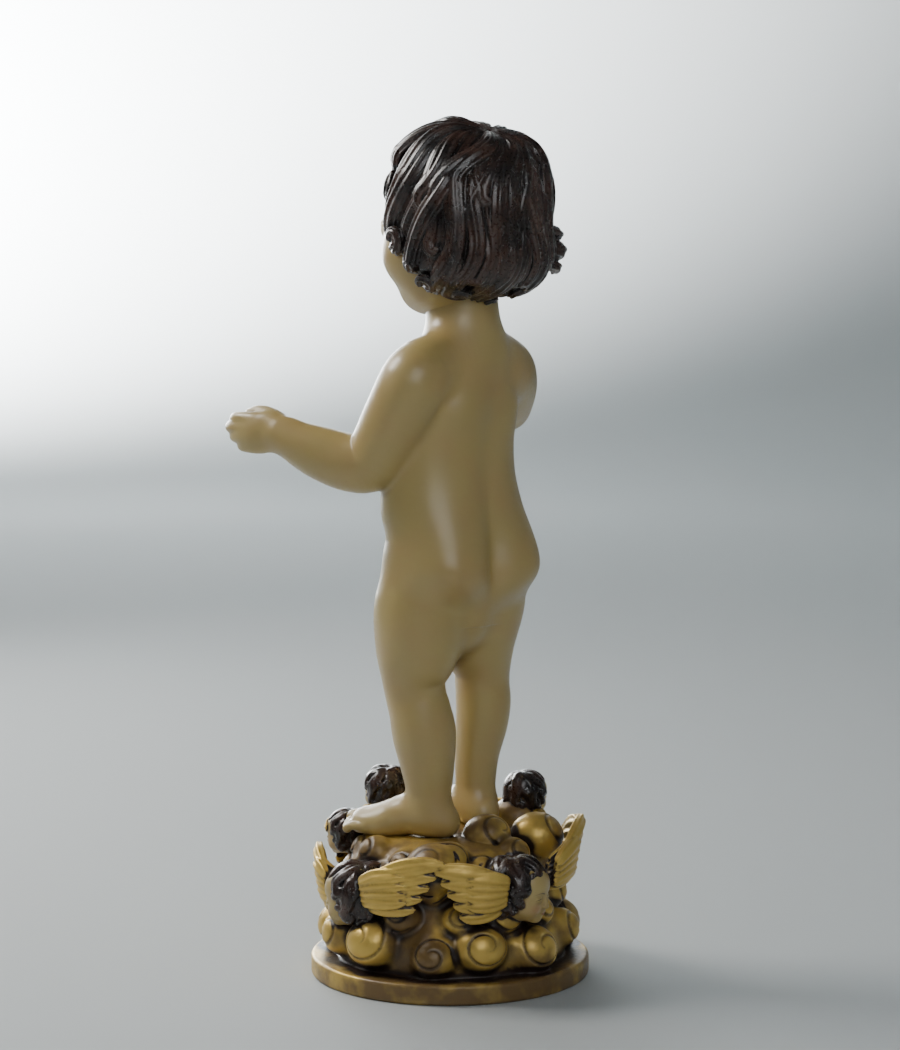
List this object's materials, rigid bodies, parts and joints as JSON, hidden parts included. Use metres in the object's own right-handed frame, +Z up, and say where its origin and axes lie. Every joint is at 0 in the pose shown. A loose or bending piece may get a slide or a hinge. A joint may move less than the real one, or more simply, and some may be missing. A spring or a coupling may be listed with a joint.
{
  "type": "child jesus statue",
  "caption": "Small painted statue of a standing bare child, one arm held out and one hand raised, on a round gilt cloud base of winged child heads.",
  "frame": {"origin": "centre of the base's flat underside", "axes": "+Z up from the underside to the crown of the head, -Y the way the child faces, +X to the child's left"},
  "size_m": [0.1122, 0.1104, 0.2991],
  "materials": {
    "flesh_paint": "satin painted flesh over a cast body, with dark brown glossy painted hair",
    "gilt_paint": "gold paint with a brown wash on a cast cloud, with flesh faces and brown hair on the child heads"
  },
  "bodies": {
    "root": {"child_figure": "flesh_paint", "cloud_base": "gilt_paint"}
  },
  "joints": []
}
